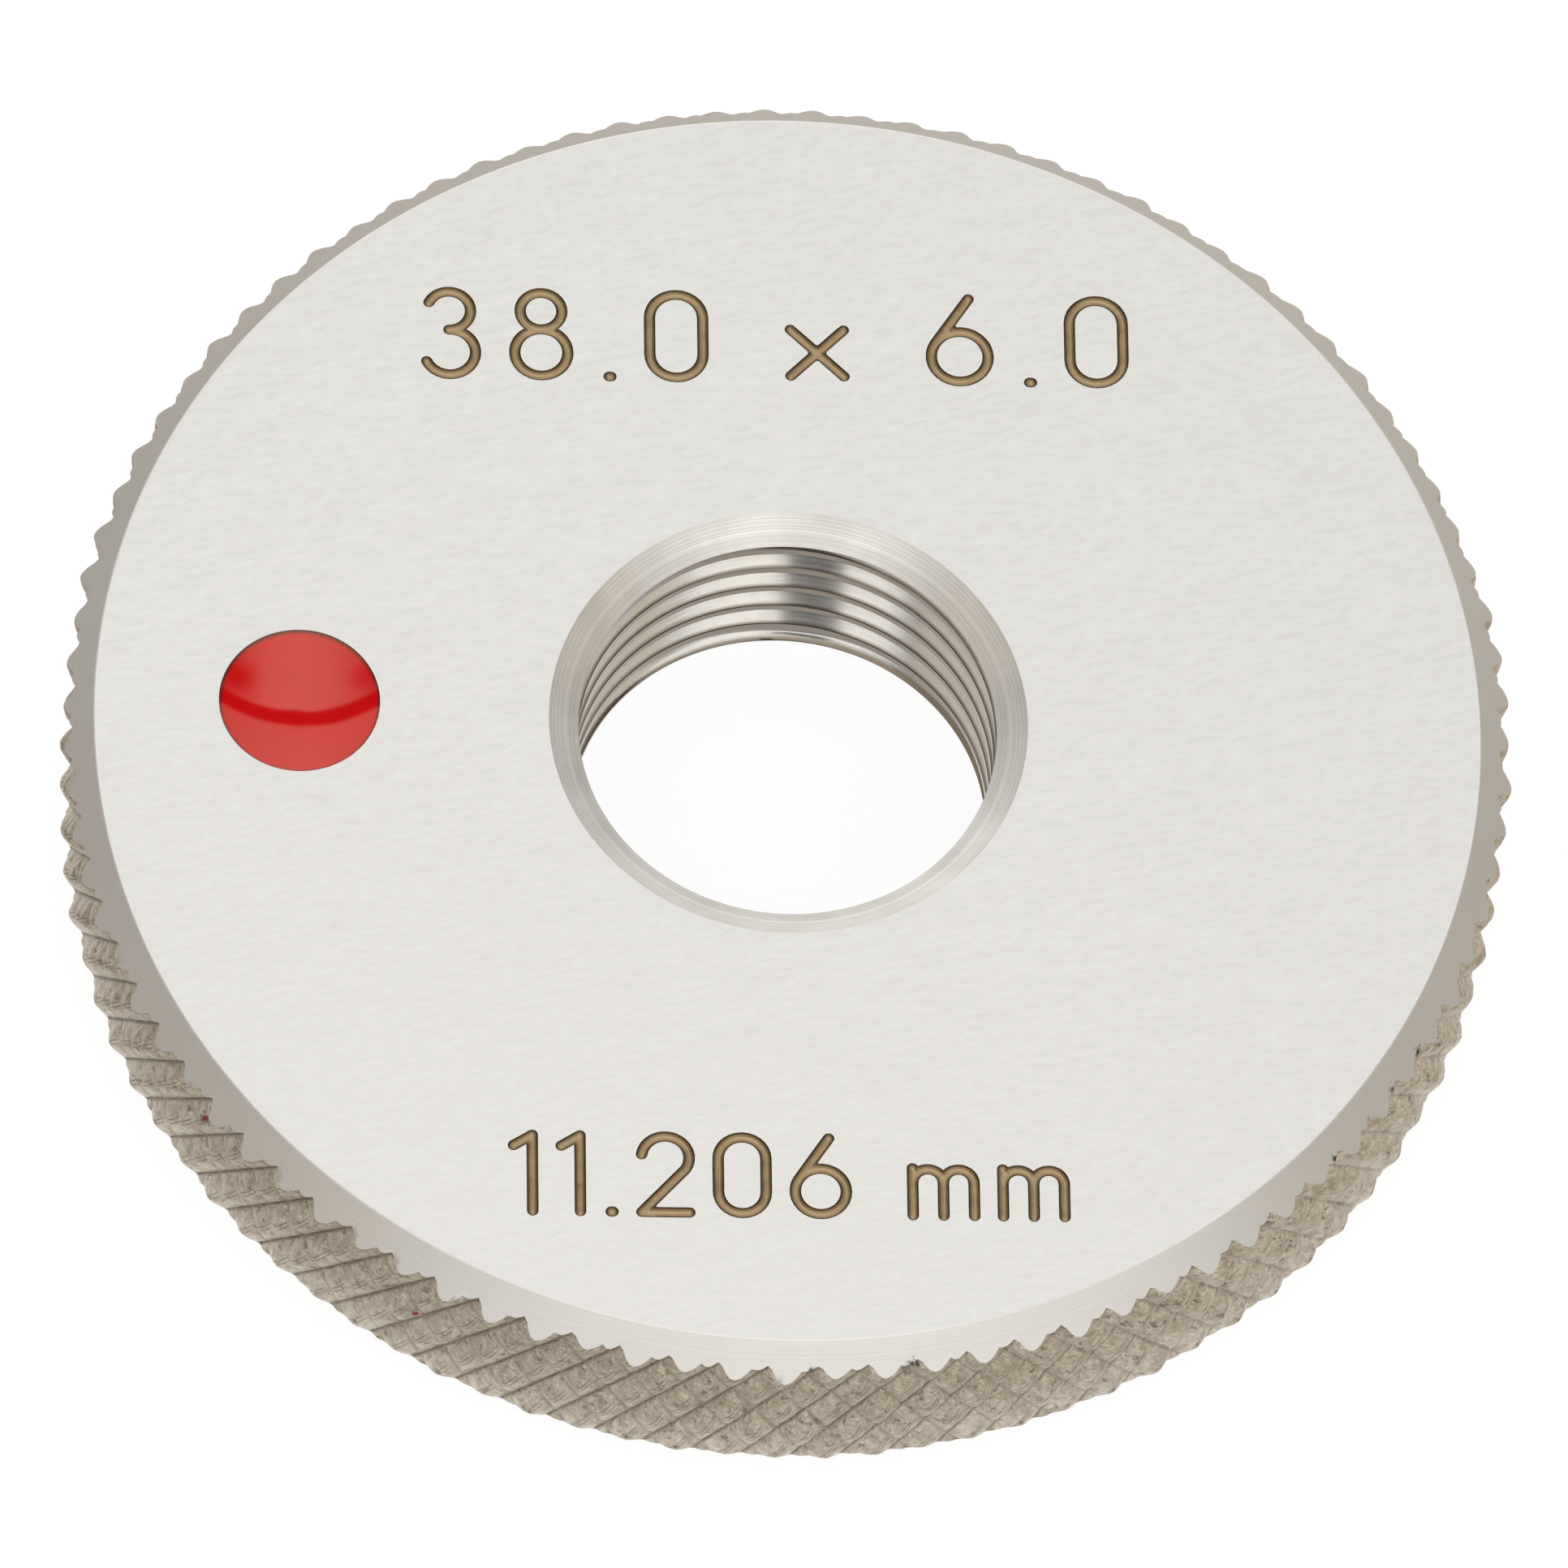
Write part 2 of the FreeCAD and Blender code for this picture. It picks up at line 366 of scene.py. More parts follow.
# Lines of points beside every engraved stroke, with circles of them round its ends and corners. A
# point is kept where no other stroke comes nearer than its own, so that the edges of joined strokes
# stay clean.
def pointsAlongPaths(paths):
    cloud = []
    offsets = []
    circle = circlePoints(1, 20)
    for path in paths:
        along = np.gradient(path, axis=0)
        along /= np.hypot(*along.T)[:, None]
        across = np.stack([-along[:, 1], along[:, 0]], -1)
        heading = np.arctan2(*np.diff(path, axis=0).T[::-1])
        bend = np.abs((np.diff(heading) + math.pi) % (2 * math.pi) - math.pi)
        hubs = path[[0, *(np.flatnonzero(bend > engraving["cornerBend"]) + 1), -1]]
        cloud.append(path)
        offsets.append(np.zeros(len(path)))
        for offset in engraving["halfWidth"] * np.array(engraving["rings"]):
            sides = [path + offset * across, path - offset * across]
            sides += [hub + offset * circle for hub in hubs]
            cloud += sides
            offsets += [np.full(len(side), offset) for side in sides]
    cloud = np.concatenate(cloud)
    clear = distanceToPaths(cloud, paths) > np.concatenate(offsets) - engraving["clearance"]
    cloud = cloud[clear]
    cells = np.round(cloud / engraving["pointGap"]).astype(int)
    firstInCell = np.unique(cells, axis=0, return_index=True)[1]
    return cloud[np.sort(firstInCell)]


def circlePoints(radius, columns, centre=(0, 0)):
    angle = np.arange(columns) * 2 * math.pi / columns
    return np.stack([centre[0] + radius * np.cos(angle), centre[1] + radius * np.sin(angle)], -1)


# A flat face between the rim and the bore, cut into triangles that keep every point given. Engraved
# paths sink it: the depth is that of a round-bottomed groove at the distance from the nearest path.
def makeFace(side, paths, recess):
    mouthRadius = ring["boreRadius"] + ring["countersinkWidth"]
    outerRadius = ring["outerRadius"] - ring["rimBevel"] - ring["edgeBreakReach"] * ring["edgeBreak"]
    rimColumns = knurl["count"] * knurl["cellsPerGroove"]
    loops = [circlePoints(outerRadius, rimColumns), circlePoints(mouthRadius, thread["columns"])]
    if recess:
        loops.append(circlePoints(paint["radius"], paint["columns"], (-paint["distance"], 0)))
    edges = []
    count = 0
    support = [circlePoints(outerRadius - meshing["supportGap"], rimColumns // 2),
               circlePoints(mouthRadius + meshing["supportGap"], thread["columns"])]
    if recess:
        support.append(circlePoints(paint["radius"] + paint["supportGap"], paint["columns"],
                                    (-paint["distance"], 0)))
    for loop in loops:
        following = np.roll(np.arange(len(loop)), -1)
        edges += (np.stack([np.arange(len(loop)), following], -1) + count).tolist()
        count += len(loop)
    places = np.concatenate(loops + support + ([pointsAlongPaths(paths)] if paths else []))
    result = delaunay_2d_cdt([Vector(place) for place in places.tolist()], edges, [], 0, tiny)
    flat = np.array([tuple(vertex) for vertex in result[0]])
    triangles = np.array(result[2])
    centre = flat[triangles].mean(1)
    # Triangles that fill the mouth of the bore or the recess are left out.
    kept = np.hypot(*centre.T) > mouthRadius * math.cos(math.pi / thread["columns"]) - 1e-4
    if recess:
        kept &= np.hypot(centre[:, 0] + paint["distance"], centre[:, 1]) > paint["radius"] * 0.999
    triangles = triangles[kept]
    height = np.full(len(flat), ring["thickness"] if side > 0 else 0.0)
    slot = np.zeros(len(triangles), int)
    if paths:
        inward = np.clip(1 - (distanceToPaths(flat, paths) / engraving["halfWidth"]) ** 2, 0, 1)
        inward[:count] = 0
        height -= engraving["depth"] * inward ** engraving["roundness"]
        slot[height[triangles].mean(1) < ring["thickness"] - meshing["flatTolerance"]] = 4
    return np.column_stack([flat, height]), triangles, slot


# The recess: a straight wall and a flat floor, as a profile carried round its own axis.
def makeRecess():
    top = ring["thickness"]
    floor = top - paint["recessDepth"]
    radius = paint["radius"] * np.array([1, 1, 1, 0.5, 0])
    height = np.array([top, top - paint["belowFace"], floor, floor, floor])
    angle = np.linspace(0, 2 * math.pi, paint["columns"] + 1)
    points = polarPoints(radius, angle[:, None], height) - (paint["distance"], 0, 0)
    return points, gridTriangles(len(angle), len(radius)), 1


# The paint: flat below, with a top that is a shallow bowl. Its height grows with the square of the
# distance from the middle, and a faint low wave keeps it from being a perfect bowl.
def makePaint(materials):
    floor = ring["thickness"] - paint["recessDepth"]
    edge = ring["thickness"] - paint["belowFace"]
    share = np.linspace(1, 0, paint["rows"])
    angle = np.linspace(0, 2 * math.pi, paint["columns"] + 1)[:, None]
    bowl = floor + paint["thickness"] + (edge - floor - paint["thickness"]) * share ** 2
    waveHeight, waves, waveTurn = paint["wave"]
    wave = waveHeight * np.sin(waves * angle + waveTurn) * share * (1 - share ** 2)
    radius = paint["radius"] * np.concatenate([[0, 0.5, 1], share])
    height = np.hstack([np.full((len(angle), 3), floor), bowl + wave])
    points = polarPoints(radius, angle, height) - (paint["distance"], 0, 0)
    patch = (points, gridTriangles(len(angle), len(radius)), 0)
    return meshFromPatches("paintDab", [patch], materials, math.radians(40))


# Shader building blocks.
def addNode(tree, kind, values=None, **settings):
    node = tree.nodes.new(kind)
    for name, value in settings.items():
        setattr(node, name, value)
    for name, value in (values or {}).items():
        if isinstance(value, bpy.types.NodeSocket):
            tree.links.new(value, node.inputs[name])
        else:
            node.inputs[name].default_value = value
    return node


def newGroup(name, takes, gives):
    group = bpy.data.node_groups.new(name, "ShaderNodeTree")
    for socketName, kind, value in takes:
        socket = group.interface.new_socket(name=socketName, in_out="INPUT", socket_type=kind)
        socket.default_value = value
    for socketName, kind in gives:
        group.interface.new_socket(name=socketName, in_out="OUTPUT", socket_type=kind)
    return group, group.nodes.new("NodeGroupInput").outputs, group.nodes.new("NodeGroupOutput").inputs


def useGroup(tree, group, values):
    node = tree.nodes.new("ShaderNodeGroup")
    node.node_tree = group
    for name, value in values.items():
        if isinstance(value, bpy.types.NodeSocket):
            tree.links.new(value, node.inputs[name])
        else:
            node.inputs[name].default_value = value
    return node.outputs


def mixColours(tree, share, first, second):
    return addNode(tree, "ShaderNodeMix", {0: share, 6: first, 7: second}, data_type="RGBA").outputs[2]


# One maths node on two values, each a number or a socket.
def reckon(tree, operation, first, second, clamp=False):
    node = addNode(tree, "ShaderNodeMath", {0: first, 1: second}, operation=operation, use_clamp=clamp)
    return node.outputs[0]


# Two tones in one, with the given share of the second.
def mixTones(tree, first, second, share):
    firstPart = reckon(tree, "MULTIPLY", first, 1 - share)
    return reckon(tree, "ADD", firstPart, reckon(tree, "MULTIPLY", second, share))


def fitRange(tree, value, fromLow, fromHigh, toLow=0.0, toHigh=1.0):
    return addNode(tree, "ShaderNodeMapRange", {
        "Value": value, "From Min": fromLow, "From Max": fromHigh, "To Min": toLow, "To Max": toHigh,
    }).outputs[0]


# Long fine scratches in one direction: noise squeezed along its first axis.
def makeScratchGroup():
    group, takes, gives = newGroup(
        "fineScratches",
        [("Vector", "NodeSocketVector", (0, 0, 0)), ("Turn", "NodeSocketFloat", 0.0),
         ("Stretch", "NodeSocketFloat", 0.1), ("Fineness", "NodeSocketFloat", 5000.0)],
        [("Tone", "NodeSocketFloat")])
    turned = addNode(group, "ShaderNodeVectorRotate", {"Vector": takes["Vector"], "Angle": takes["Turn"]},
                     rotation_type="Z_AXIS")
    squeeze = addNode(group, "ShaderNodeCombineXYZ", {0: takes["Stretch"], 1: 1.0, 2: 1.0})
    squeezed = addNode(group, "ShaderNodeVectorMath", {0: turned.outputs[0], 1: squeeze.outputs[0]},
                       operation="MULTIPLY")
    noise = addNode(group, "ShaderNodeTexNoise", {
        "Vector": squeezed.outputs[0], "Scale": takes["Fineness"], "Detail": 3.0, "Roughness": 0.6,
    })
    tone = fitRange(group, noise.outputs[0], 0.32, 0.68)
    group.links.new(tone, gives["Tone"])
    return group


# Rings left by a lathe tool: noise that depends only on the distance from the axis and the height.
def makeTurningGroup():
    group, takes, gives = newGroup(
        "turningRings",
        [("Vector", "NodeSocketVector", (0, 0, 0)), ("Fineness", "NodeSocketFloat", 9000.0)],
        [("Tone", "NodeSocketFloat"), ("Radius", "NodeSocketFloat")])
    parts = addNode(group, "ShaderNodeSeparateXYZ", {0: takes["Vector"]}).outputs
    level = addNode(group, "ShaderNodeCombineXYZ", {0: parts[0], 1: parts[1], 2: 0.0}).outputs[0]
    radius = addNode(group, "ShaderNodeVectorMath", {0: level}, operation="LENGTH").outputs["Value"]
    place = addNode(group, "ShaderNodeCombineXYZ", {0: radius, 1: parts[2], 2: 0.0}).outputs[0]
    noise = addNode(group, "ShaderNodeTexNoise", {
        "Vector": place, "Scale": takes["Fineness"], "Detail": 2.0, "Roughness": 0.6,
    })
    tone = fitRange(group, noise.outputs[0], 0.3, 0.7)
    group.links.new(tone, gives["Tone"])
    group.links.new(radius, gives["Radius"])
    return group


# Uneven patches, from broad handling marks to fine grit.
def makeMottleGroup():
    group, takes, gives = newGroup(
        "mottle",
        [("Vector", "NodeSocketVector", (0, 0, 0)), ("Fineness", "NodeSocketFloat", 400.0),
         ("Low", "NodeSocketFloat", 0.35), ("High", "NodeSocketFloat", 0.65)],
        [("Tone", "NodeSocketFloat")])
    noise = addNode(group, "ShaderNodeTexNoise", {
        "Vector": takes["Vector"], "Scale": takes["Fineness"], "Detail": 4.0, "Roughness": 0.6,
    })
    tone = addNode(group, "ShaderNodeMapRange", {
        "Value": noise.outputs[0], "From Min": takes["Low"], "From Max": takes["High"],
    })
    group.links.new(tone.outputs[0], gives["Tone"])
    return group


# A small ragged spot: full inside the size round its centre, and noise eats into its edge.
def makeSpeckGroup():
    group, takes, gives = newGroup(
        "speck",
        [("Vector", "NodeSocketVector", (0, 0, 0)), ("Centre", "NodeSocketVector", (0, 0, 0)),
         ("Size", "NodeSocketFloat", 0.0001)],
        [("Mask", "NodeSocketFloat")])
    gap = addNode(group, "ShaderNodeVectorMath", {0: takes["Vector"], 1: takes["Centre"]},
                  operation="DISTANCE").outputs["Value"]
    noise = addNode(group, "ShaderNodeTexNoise", {"Vector": takes["Vector"], "Scale": 9000.0}).outputs[0]
    ragged = reckon(group, "MULTIPLY", gap, fitRange(group, noise, 0.3, 0.7, 0.6, 1.6))
    mask = reckon(group, "SUBTRACT", 1.6, reckon(group, "DIVIDE", ragged, takes["Size"]), True)
    group.links.new(mask, gives["Mask"])
    return group


scratches = makeScratchGroup()
turning = makeTurningGroup()
mottle = makeMottleGroup()
speck = makeSpeckGroup()

# Specks on the rim: degrees round, distance from the axis, height, size and colour.
soot = (0.02, 0.017, 0.014, 1)
umber = (0.1, 0.075, 0.05, 1)
redSmear = (0.27, 0.008, 0.01, 1)
rimSpecks = [
    (-141.8, 18.85, 4.46, 0.14, redSmear),
    (-121.8, 18.8, 3.75, 0.16, redSmear),
    (-119.3, 18.7, 3.1, 0.09, redSmear),
    (-78.9, 18.77, 5.33, 0.17, soot),
    (-86.9, 18.71, 5.39, 0.1, soot),
    (-31.5, 18.72, 5.38, 0.12, soot),
    (-27.5, 18.71, 5.38, 0.12, soot),
    (-155.0, 18.8, 3.6, 0.15, soot),
    (-27.5, 18.82, 3.97, 0.13, umber),
    (-33.0, 18.82, 3.54, 0.1, umber),
    (-39.5, 18.68, 5.41, 0.08, umber),
]


def addSpecks(tree, place, colour):
    for degrees, radius, height, size, tint in rimSpecks:
        turn = math.radians(degrees)
        centre = (radius * math.cos(turn) * mm, radius * math.sin(turn) * mm, height * mm)
        mask = useGroup(tree, speck, {"Vector": place, "Centre": centre, "Size": size * mm})["Mask"]
        colour = mixColours(tree, mask, colour, tint)
    return colour


def newMaterial(name, **constants):
    material = bpy.data.materials.new(name)
    material.use_nodes = True
    tree = material.node_tree
    shader = tree.nodes["Principled BSDF"]
    for socket, value in constants.items():
        shader.inputs[socket.replace("_", " ")].default_value = value
    place = addNode(tree, "ShaderNodeTexCoord").outputs["Object"]
    return material, tree, shader, place


def addRelief(tree, shader, height, distance, strength=1.0):
    bump = addNode(tree, "ShaderNodeBump", {"Height": height, "Strength": strength, "Distance": distance})
    tree.links.new(bump.outputs[0], shader.inputs["Normal"])


def makeGroundSteel():
    look = {"pale": (0.664, 0.659, 0.644, 1), "dull": (0.58, 0.573, 0.555, 1), "grain": math.radians(-14)}
    material, tree, shader, place = newMaterial("groundSteel", Metallic=1.0)
    fine = useGroup(tree, scratches, {
        "Vector": place, "Turn": look["grain"], "Stretch": 0.3, "Fineness": 6300.0})["Tone"]
    broad = useGroup(tree, scratches, {
        "Vector": place, "Turn": look["grain"], "Stretch": 0.28, "Fineness": 1900.0})["Tone"]
    tone = mixTones(tree, fine, broad, 0.3)
    tree.links.new(mixColours(tree, tone, look["dull"], look["pale"]), shader.inputs["Base Color"])
    tree.links.new(fitRange(tree, tone, 0.0, 1.0, 0.4, 0.5), shader.inputs["Roughness"])
    addRelief(tree, shader, fine, 0.002 * mm, 0.6)
    return material


def makeTurnedSteel():
    look = {
        "pale": (0.645, 0.632, 0.612, 1), "dull": (0.6, 0.584, 0.558, 1),
        "litCountersinkPale": (0.86, 0.85, 0.835, 1), "litCountersinkDull": (0.49, 0.47, 0.435, 1),
        "boreRadius": 7.0 * mm, "rimRadius": 8.0 * mm,
    }
    material, tree, shader, place = newMaterial("turnedSteel", Metallic=1.0)
    marks = useGroup(tree, turning, {"Vector": place, "Fineness": 19000.0})
    patches = useGroup(tree, mottle, {"Vector": place, "Fineness": 700.0, "Low": 0.3, "High": 0.7})["Tone"]
    rings = marks["Tone"]
    tone = mixTones(tree, rings, patches, 0.25)
    # Painted highlight: within 7 to 8 mm of the axis, on the countersinks, the turned steel is coloured
    # paler than on the bevel, with stronger turning lines.
    nearRim = fitRange(tree, marks["Radius"], look["boreRadius"], look["rimRadius"])
    pale = mixColours(tree, nearRim, look["litCountersinkPale"], look["pale"])
    dull = mixColours(tree, nearRim, look["litCountersinkDull"], look["dull"])
    metal = mixColours(tree, tone, dull, pale)
    tree.links.new(addSpecks(tree, place, metal), shader.inputs["Base Color"])
    tree.links.new(fitRange(tree, tone, 0.0, 1.0, 0.42, 0.34), shader.inputs["Roughness"])
    addRelief(tree, shader, rings, 0.003 * mm, 0.7)
    return material


def makeKnurledSteel():
    look = {
        "bright": (0.745, 0.685, 0.59, 1), "dull": (0.43, 0.372, 0.29, 1), "shadeAndGrime": (0.13, 0.098, 0.068, 1),
        "root": (0.02, 0.14), "crestLine": (0.84, 0.9, 0.95), "tipHeight": 0.95 * mm,
    }
    material, tree, shader, place = newMaterial("knurledSteel", Metallic=1.0)
    grit = useGroup(tree, mottle, {"Vector": place, "Fineness": 7500.0, "Low": 0.25, "High": 0.75})["Tone"]
    patches = useGroup(tree, mottle, {
        "Vector": place, "Fineness": 2600.0, "Low": 0.25, "High": 0.75})["Tone"]
    pits = useGroup(tree, mottle, {"Vector": place, "Fineness": 4200.0, "Low": 0.58, "High": 0.66})["Tone"]
    first = addNode(tree, "ShaderNodeAttribute", attribute_name="firstCut").outputs["Fac"]
    second = addNode(tree, "ShaderNodeAttribute", attribute_name="secondCut").outputs["Fac"]
    height = addNode(tree, "ShaderNodeSeparateXYZ", {0: place}).outputs[2]
    # Darkening: painted shade with some grime in the roots, a dark line on either side of the crests, grime
    # in pits, and a painted shadow on the lowest points.
    firstRootShade = fitRange(tree, first, *look["root"], 0.85, 0.0)
    secondRootShade = fitRange(tree, second, *look["root"], 0.35, 0.0)
    start, middle, end = look["crestLine"]
    rising = fitRange(tree, first, start, middle)
    crestLine = reckon(tree, "MULTIPLY", rising, fitRange(tree, first, middle, end, 0.9, 0.0))
    crestLine = reckon(tree, "MULTIPLY", crestLine, fitRange(tree, second, 0.15, 0.4))
    lines = reckon(tree, "MAXIMUM", reckon(tree, "MAXIMUM", firstRootShade, secondRootShade), crestLine)
    lines = reckon(tree, "MULTIPLY", lines, fitRange(tree, patches, 0.0, 1.0, 0.45, 1.0))
    # Painted shadow on the lowest tips, where they meet the lower bevel.
    atTip = reckon(tree, "MULTIPLY", fitRange(tree, first, 0.75, 0.95), fitRange(tree, second, 0.7, 0.95))
    lowTipShadow = fitRange(tree, height, look["tipHeight"], look["tipHeight"] + 0.25 * mm, 0.9, 0.0)
    lowTipShadow = reckon(tree, "MULTIPLY", lowTipShadow, fitRange(tree, patches, 0.3, 0.6))
    shadeAndGrimeShare = reckon(tree, "MAXIMUM", lines, reckon(tree, "MULTIPLY", atTip, lowTipShadow))
    shadeAndGrimeShare = reckon(tree, "MAXIMUM", shadeAndGrimeShare, reckon(tree, "MULTIPLY", pits, 0.6))
    tone = mixTones(tree, grit, patches, 0.5)
    metal = mixColours(tree, fitRange(tree, tone, 0.25, 0.75), look["dull"], look["bright"])
    metal = mixColours(tree, shadeAndGrimeShare, metal, look["shadeAndGrime"])
    tree.links.new(addSpecks(tree, place, metal), shader.inputs["Base Color"])
    tree.links.new(fitRange(tree, grit, 0.25, 0.75, 0.36, 0.55), shader.inputs["Roughness"])
    addRelief(tree, shader, tone, 0.09 * mm, 1.0)
    return material


def makeThreadSteel():
    look = {
        "pale": (0.68, 0.66, 0.63, 1), "dull": (0.57, 0.545, 0.505, 1), "crest": (0.18, 0.145, 0.105, 1),
        "crestRadius": (ring["boreRadius"] + 0.03) * mm,
        "foot": ring["countersinkWidth"] / math.tan(ring["countersinkHalfAngle"]) * mm,
    }
    material, tree, shader, place = newMaterial("threadSteel", Metallic=1.0)
    marks = useGroup(tree, turning, {"Vector": place, "Fineness": 12000.0})
    patches = useGroup(tree, mottle, {"Vector": place, "Fineness": 1400.0, "Low": 0.3, "High": 0.7})["Tone"]
    rings = marks["Tone"]
    tone = mixTones(tree, rings, patches, 0.5)
    metal = mixColours(tree, tone, look["dull"], look["pale"])
    # Painted dark reflection: the crest flats are coloured dark brown.
    crest = fitRange(tree, marks["Radius"], look["crestRadius"], look["crestRadius"] + 0.07 * mm, 0.85, 0.0)
    # Painted shadow too: a dark line along each end, where the bore meets a countersink.
    height = addNode(tree, "ShaderNodeSeparateXYZ", {0: place}).outputs[2]
    fromTop = reckon(tree, "SUBTRACT", ring["thickness"] * mm, height)
    fromFace = reckon(tree, "MINIMUM", height, fromTop)
    footShadow = fitRange(tree, fromFace, look["foot"] + 0.07 * mm, look["foot"] + 0.13 * mm, 0.85, 0.0)
    crest = reckon(tree, "MAXIMUM", crest, footShadow)
    tree.links.new(mixColours(tree, crest, metal, look["crest"]), shader.inputs["Base Color"])
    tree.links.new(fitRange(tree, tone, 0.0, 1.0, 0.2, 0.12), shader.inputs["Roughness"])
    addRelief(tree, shader, rings, 0.0015 * mm, 0.6)
    return material


def makeEngravedSteel():
    look = {
        "edge": (0.11, 0.075, 0.04, 1), "middle": (0.37, 0.275, 0.16, 1),
        "edgeHeight": 5.97 * mm, "middleHeight": 5.91 * mm,
    }
    material, tree, shader, place = newMaterial("engravedSteel", Metallic=1.0)
    height = addNode(tree, "ShaderNodeSeparateXYZ", {0: place}).outputs[2]
    deep = fitRange(tree, height, look["edgeHeight"], look["middleHeight"])
    grit = useGroup(tree, mottle, {"Vector": place, "Fineness": 3500.0, "Low": 0.3, "High": 0.7})["Tone"]
    share = reckon(tree, "MULTIPLY", deep, fitRange(tree, grit, 0.0, 1.0, 0.65, 1.0), True)
    tree.links.new(mixColours(tree, share, look["edge"], look["middle"]), shader.inputs["Base Color"])
    tree.links.new(fitRange(tree, grit, 0.0, 1.0, 0.32, 0.5), shader.inputs["Roughness"])
    addRelief(tree, shader, grit, 0.01 * mm, 0.5)
    return material


def makeRedPaint():
    look = {
        "deep": (0.5, 0.0015, 0.005, 1), "bright": (0.55, 0.004, 0.006, 1), "rim": (0.07, 0.012, 0.012, 1),
        "centre": (-paint["distance"] * mm, 0, (ring["thickness"] - paint["belowFace"]) * mm),
    }
    material, tree, shader, place = newMaterial(
        "redPaint", Metallic=0.0, Roughness=0.08, IOR=1.62, Specular_Tint=(1, 0.76, 0.56, 1))
    cloud = useGroup(tree, mottle, {"Vector": place, "Fineness": 700.0, "Low": 0.3, "High": 0.7})["Tone"]
    away = addNode(tree, "ShaderNodeVectorMath", {0: place, 1: look["centre"]}, operation="DISTANCE")
    # Painted shade: the paint darkens towards its edge, against the recess wall.
    rimShade = fitRange(tree, away.outputs["Value"], (paint["radius"] - 0.11) * mm, paint["radius"] * mm)
    colour = mixColours(tree, cloud, look["deep"], look["bright"])
    tree.links.new(mixColours(tree, rimShade, colour, look["rim"]), shader.inputs["Base Color"])
    return material


print("materials")
steels = [makeGroundSteel(), makeTurnedSteel(), makeKnurledSteel(), makeThreadSteel(), makeEngravedSteel()]

rows = rowOfFigures(engraving["topText"], engraving["topHeight"], engraving["topPlace"],
                    engraving["topWidth"])
rows += rowOfFigures(engraving["bottomText"], engraving["bottomHeight"], engraving["bottomPlace"],
                     engraving["bottomWidth"])
ringPatches = makeRim()
ringPatches += makeBore()
ringPatches.append(makeFace(1, rows, True))
ringPatches.append(makeFace(-1, [], False))
ringPatches.append(makeRecess())
ringPiece = meshFromPatches("gaugeRing", ringPatches, steels, math.radians(20), softSlot=2)
markCuts(ringPiece)
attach(ringPiece, "root")
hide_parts("gauge_ring")

paintPiece = makePaint([makeRedPaint()])
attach(paintPiece, "root")
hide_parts("red_dot")
print("pieces")

# The studio. Directions are taken with the camera over -Y, and camera and cards are then turned.
# A card is a patch of a sphere round the object: `over` is the angle up from the back horizon and
# on over the top to the front, and `aside` is the angle out to the right.
studio = {
    "cardTurn": math.radians(2.8),
    "cardDistance": 450.0,
    "floorSize": 3000.0,
    "floorGap": 0.02,
    "floorWhite": 0.88,
    "floorColour": (0.16, 0.16, 0.16, 1),
    "cardSteps": 25,
    "cardGap": 0.01,         # how much nearer each card stands than the one before, as a share
    "table": (20.5, 300.0),
    "tableHeight": 0.05,
    "tableColumns": 97,
    "tableGrey": (0.65, 0.6, 0.53),
    "tableBright": math.radians(15),
    "tableShares": (0.93, 0.17),  # its brightness halfway round, and what the bright side adds
    # Name, over, aside and colour. `sides` and `ends` say how bright those are beside the middle, `bow`
    # how much further over the sides stand, and a veil fades to nothing towards its whole edge.
    "cards": [
        ("leftGrey", (-12, 192), (-89, -55), (0.615, 0.575, 0.53), {"ends": 0.78}),
        ("rightGrey", (-12, 192), (55, 89), (0.67, 0.62, 0.555), {"ends": 0.75}),
        ("leftShoulder", (57, 172), (-60, -28), (0.74, 0.68, 0.6), {}),
        ("rightShoulder", (57, 172), (28, 60), (0.78, 0.715, 0.625), {}),
        ("overheadLight", (58, 113), (-32, 32), (2.12, 2.1, 2.07), {"sides": 0.1}),
        ("backdropLight", (-4, 55), (-50, 50), (1.65, 1.63, 1.59), {"sides": 0.15, "bow": 4}),
        ("backdropGap", (52, 59.5), (-45, 45), (0.02, 0.02, 0.02), {"bow": 12}),
        ("leftGapEnd", (62, 80), (-35, -15), (0.25, 0.25, 0.25), {"veil": True}),
        ("rightGapEnd", (60, 83), (12, 33), (0.05, 0.05, 0.05), {"veil": True}),
        ("frontLight", (113, 172), (-41, 53), (1.37, 1.35, 1.3), {"sides": 0.72}),
        ("cameraShade", (114, 128), (-11.2, 4.4), (0.14, 0.14, 0.135), {}),
    ],
}

camera = {
    "turn": math.radians(-4.1),
    "elevation": 1.070199,
    "roll": 0.105353,
    "distance": 562.3256,
    "aside": 0.119335,
    "above": 1.636571,
    "focalPixels": 26595.11,
    "imageWidth": 1932,
    "sensorWidth": 36.0,
    "clip": (0.01, 20.0),    # in metres
}


def showStage(name, mesh, material):
    mesh.materials.append(material)
    piece = bpy.data.objects.new(name, mesh)
    bpy.context.scene.collection.objects.link(piece)
    return piece


# A card is so wide that rays find it by themselves, and sampling it as a lamp would only cost time.
def glowingMaterial(name, glow):
    material = bpy.data.materials.new(name)
    material.cycles.emission_sampling = "NONE"
    material.use_nodes = True
    tree = material.node_tree
    tree.nodes.clear()
    share = addNode(tree, "ShaderNodeAttribute", attribute_name="share").outputs["Fac"]
    cover = addNode(tree, "ShaderNodeAttribute", attribute_name="cover").outputs["Fac"]
    light = addNode(tree, "ShaderNodeEmission", {"Color": (*glow, 1), "Strength": share})
    clear = addNode(tree, "ShaderNodeBsdfTransparent")
    both = addNode(tree, "ShaderNodeMixShader", {0: cover, 1: clear.outputs[0], 2: light.outputs[0]})
    addNode(tree, "ShaderNodeOutputMaterial", {"Surface": both.outputs[0]})
    return material


